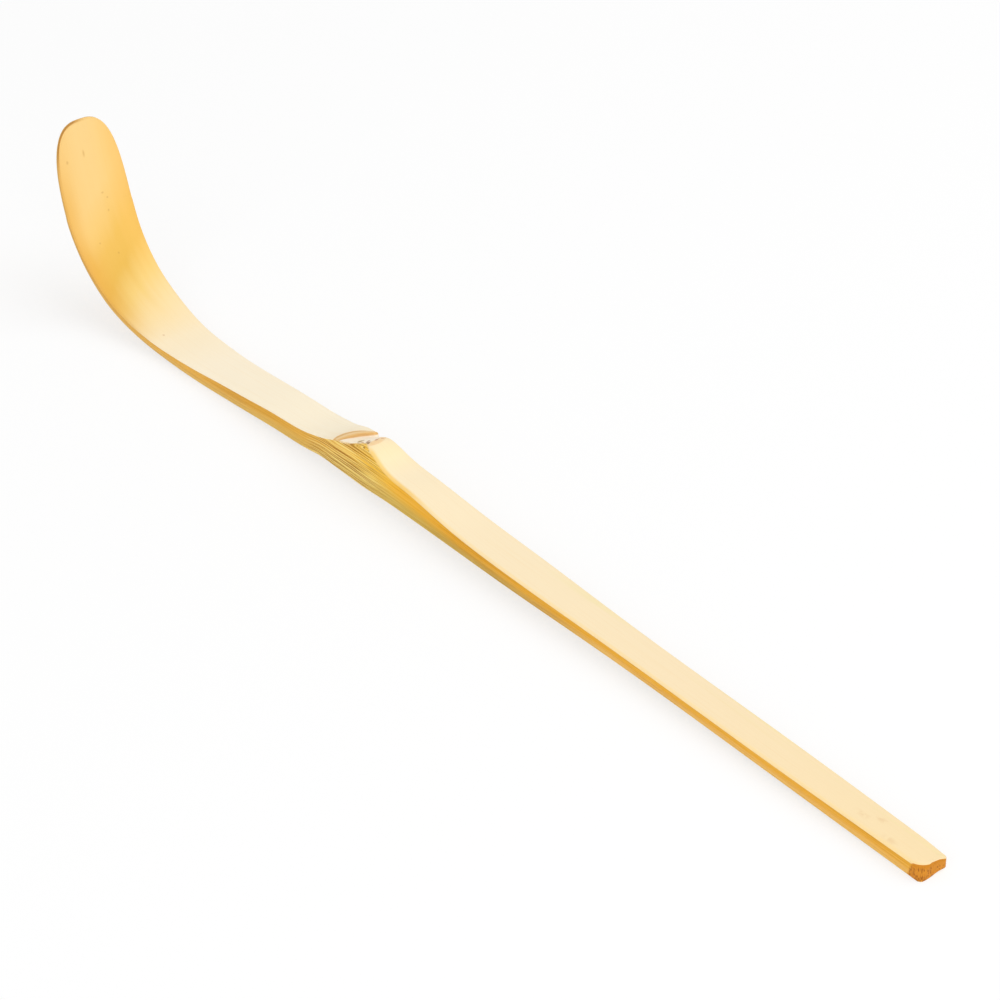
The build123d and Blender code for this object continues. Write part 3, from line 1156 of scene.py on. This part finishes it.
        # Painted shade over the blade away from its painted highlight
        face = self.painted_blade_shade.over(face, abs(across - self.blade_highlight_middle), along.falling(*self.blade_shade_end))
        # Edge colours, among them the painted highlight along the handle's near edge
        for overlay in self.edges:
            face = overlay.over(face, skin)
        for speck in self.specks:
            face = speck.over(face, skin, self.speck_span, self.speck_share)
        long, wide = self.smudge_size
        patch = self.smudge_chance.on(along, across)
        for at, beside in self.smudges:
            face = self.smudged.over(face, patch, along.close_to(at, long) * across.close_to(beside, wide))
        return self.straw.over(face, cloud, across.rising(*self.straw_side) * along.rising(*self.straw_start))

    def sides(self, skin: Skin) -> Signal:
        """Colour of the sides: gold above, paler below, with dark and light fibres.

        Args:
            skin: What the finish knows of each point.

        Returns:
            The colour.
        """
        along = skin.along
        wandering = skin.share + (self.low_chance.on(along, 0.0) - 0.5) * self.low_wander
        side = skin.paint.mix(self.ramp(along, self.side_stops), self.ramp(along, self.low_stops),
                              wandering.rising(*self.low_span))
        node = along.rising(*self.node_start) * along.falling(*self.node_finish)
        for tones, chance in ((self.bundle_tones, skin.bundle), (self.thread_tones, skin.thread)):
            for fibres in tones:
                side = fibres.over(side, chance, node)
        return side

    def back(self, skin: Skin) -> Signal:
        """Colour of the back: straw, with brown dashes where the bundles of the inner wall show."""
        back = self.dashed.over(self.back_colour, self.dash_chance.on(skin.along, skin.across))
        return self.scoop_back.over(back, skin.along)

    def end_grain(self, skin: Skin) -> Signal:
        """Colour of the end grain: orange-brown with the bundles as dots and darker rays.

        Args:
            skin: What the finish knows of each point.

        Returns:
            The colour.
        """
        beside, ahead, down = self.dot_rates
        flat = skin.across * beside + skin.along * ahead
        dots = skin.paint.spots(skin.paint.vector(flat, skin.share * down, self.dot_layer))
        grain = self.between_dots.over(self.dot_colour, dots)
        rays = self.ray_chance.on(skin.across + skin.along, skin.share)
        grain = self.rays.over(grain, rays, skin.across.falling(*self.ray_side))
        return self.rim.over(grain, skin.share)

    def scarred(self, body: Signal, skin: Skin) -> Signal:
        """Lay the scar over the strip: its lip with a painted highlight, its brown lines, partly painted
        shade, the pinkish band and the pits at the ridge.

        Args:
            body: The strip's colour so far.
            skin: What the finish knows of each point.

        Returns:
            The strip's colour with the scar.
        """
        paint, across, past = skin.paint, skin.across, skin.past
        beside = across + self.ridge_off
        from_ridge = skin.along + beside * beside * self.ridge_bow - self.ridge_lead
        patch = self.band_chance.on(skin.along, across)
        band = self.band_patches.over(self.band_colour, patch)
        # Painted highlight on the lip's crest
        lip = self.lip_highlight.over(self.lip_colour, abs(past - 0.5))
        scar = paint.mix(lip, band, past.rising(*self.band_start))
        fading = 1 - across.rising(*self.line_fade) * self.line_loss
        # Brown lines, partly painted shade at the lip's feet
        for place, line in self.lines:
            scar = line.over(scar, abs(past - place), fading)
        scar = self.chamfer.over(scar, from_ridge, 1 + patch)
        for mark in self.scar_marks:
            scar = mark.over(scar, skin, self.mark_span, self.mark_share, (patch - 0.5) * self.raggedness)
        at_scar = past.rising(*self.scar_start) * skin.share.falling(*self.scar_depth)
        return paint.mix(body, scar, at_scar * from_ridge.falling(*self.ridge_span))

    def dress(self, piece: bpy.types.Object) -> None:
        """Give the finish to a piece.

        Args:
            piece: The piece, whose mesh notes where each point lies.
        """
        material = bpy.data.materials.new("scraped_bamboo")
        material.use_nodes = True
        tree = material.node_tree
        shader = tree.nodes["Principled BSDF"]
        paint = Paint(tree)
        skin = Skin(paint)
        side = self.sides(skin)
        body = paint.mix(self.face(skin), side, skin.share.rising(*self.side_start))
        body = paint.mix(body, self.back(skin), skin.under.rising(*self.back_start))
        body = paint.mix(body, self.end_grain(skin), skin.end.rising(*self.end_start))
        body = self.scarred(body, skin)
        body = self.bare_rim.over(body, skin.bare, skin.share.falling(*self.bare_depth))
        body = paint.mix(body, side, skin.bare.rising(*self.bare_start))
        off_face = skin.share.rising(*self.skin_depth)
        rough = self.roughness + off_face * self.side_roughness + skin.streak * self.streak_roughness
        fibres = (skin.bundle + skin.thread * self.thread_relief) * off_face.most(skin.bare)
        relief = skin.streak * self.streak_relief + fibres * self.bundle_relief
        bump = paint.node("ShaderNodeBump", None, {"Height": relief, "Strength": self.relief_strength,
                                                   "Distance": self.relief_depth})
        for name, signal in (("Base Color", body), ("Roughness", rough), ("Normal", bump)):
            tree.links.new(signal.socket, shader.inputs[name])
        shader.inputs["Specular IOR Level"].default_value = self.gloss
        piece.data.materials.append(material)


@dataclass(frozen=True)
class Lamp:
    """A broad square lamp, in metres and watts, turned to the middle of the floor."""

    name: str
    place: Triple
    width: float
    power: float

    def hang(self) -> None:
        """Hang the lamp in its place."""
        data = bpy.data.lights.new(self.name, "AREA")
        data.shape = "RECTANGLE"
        data.size = data.size_y = self.width
        data.energy = self.power
        lamp = bpy.data.objects.new(self.name, data)
        bpy.context.scene.collection.objects.link(lamp)
        lamp.location = self.place
        lamp.rotation_euler = (-lamp.location).to_track_quat("-Z", "Y").to_euler()


@dataclass
class Studio:
    """The pale floor, the soft light and the camera, whose place is in the strip's own frame."""

    azimuth: float = 52.4
    elevation: float = 33.0
    distance: float = 479.5
    target: Triple = (24.6, 0.0, 7.117)
    lens: float = 144.0
    sensor: float = 36.0
    clip: Span = (0.01, 10.0)
    floor_size: float = 6.0
    floor_lift: float = 0.7
    room_level: float = 0.5
    lamps: tuple[Lamp, ...] = (
        Lamp("softbox", (0.30, 0.42, 0.80), 1.1, 5.4), Lamp("fill", (0.5, -0.6, 0.32), 0.9, 3.4))

    def camera(self) -> None:
        """Place the camera at the photograph's viewing angle."""
        turn = Matrix.Rotation(math.radians(self.azimuth), 4, "Z")
        lift = Matrix.Rotation(math.radians(90 - self.elevation), 4, "X")
        place = Matrix.Translation(self.target) @ turn @ lift @ Matrix.Translation((0, 0, self.distance))
        data = bpy.data.cameras.new("view")
        data.lens = self.lens
        data.sensor_width = self.sensor
        data.clip_start, data.clip_end = self.clip
        camera = bpy.data.objects.new("view", data)
        bpy.context.scene.collection.objects.link(camera)
        location, rotation, _ = (Pose().matrix() @ place).decompose()
        camera.location = location
        camera.rotation_euler = rotation.to_euler()
        bpy.context.scene.camera = camera

    def floor(self) -> None:
        """Lay the pale floor, white where it is looked at but for the shadow on it."""
        bpy.ops.object.select_all(action="DESELECT")
        bpy.ops.mesh.primitive_plane_add(size=self.floor_size, location=(0, 0, 0))
        plane = bpy.context.object
        plane.name = "floor"
        material = bpy.data.materials.new("floor")
        material.use_nodes = True
        tree = material.node_tree
        shader = tree.nodes["Principled BSDF"]
        shader.inputs["Base Color"].default_value = (1, 1, 1, 1)
        shader.inputs["Roughness"].default_value = 1.0
        shader.inputs["Specular IOR Level"].default_value = 0.0
        paint = Paint(tree)
        white = paint.node("ShaderNodeEmission", None, {"Color": (1, 1, 1, 1), "Strength": 1.0})
        lifted = paint.node("ShaderNodeMixShader", None, {0: paint.seen() * self.floor_lift, 2: white})
        tree.links.new(shader.outputs[0], lifted.socket.node.inputs[1])
        tree.links.new(lifted.socket, tree.nodes["Material Output"].inputs[0])
        plane.data.materials.append(material)

    def room(self) -> None:
        """Light the room around the scoop evenly, and let it look white."""
        world = bpy.data.worlds.new("room")
        bpy.context.scene.world = world
        world.use_nodes = True
        background = world.node_tree.nodes["Background"]
        background.inputs["Color"].default_value = (1, 1, 1, 1)
        seen = Paint(world.node_tree).seen()
        strength = seen + (1 - seen) * self.room_level
        world.node_tree.links.new(strength.socket, background.inputs["Strength"])

    def build(self) -> None:
        """Set up the whole studio."""
        self.floor()
        self.room()
        for lamp in self.lamps:
            lamp.hang()
        self.camera()
        bpy.context.scene.view_settings.view_transform = "Standard"


def main() -> None:
    """Build the scoop and the studio, in order."""
    piece = Strip().build()
    Bamboo().dress(piece)
    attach(piece, "root")
    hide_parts("bamboo_scoop")
    logging.info("piece %s: %d faces", piece.name, len(piece.data.polygons))
    Studio().build()


if __name__ == "__main__":
    logging.basicConfig(level=logging.INFO)
    main()
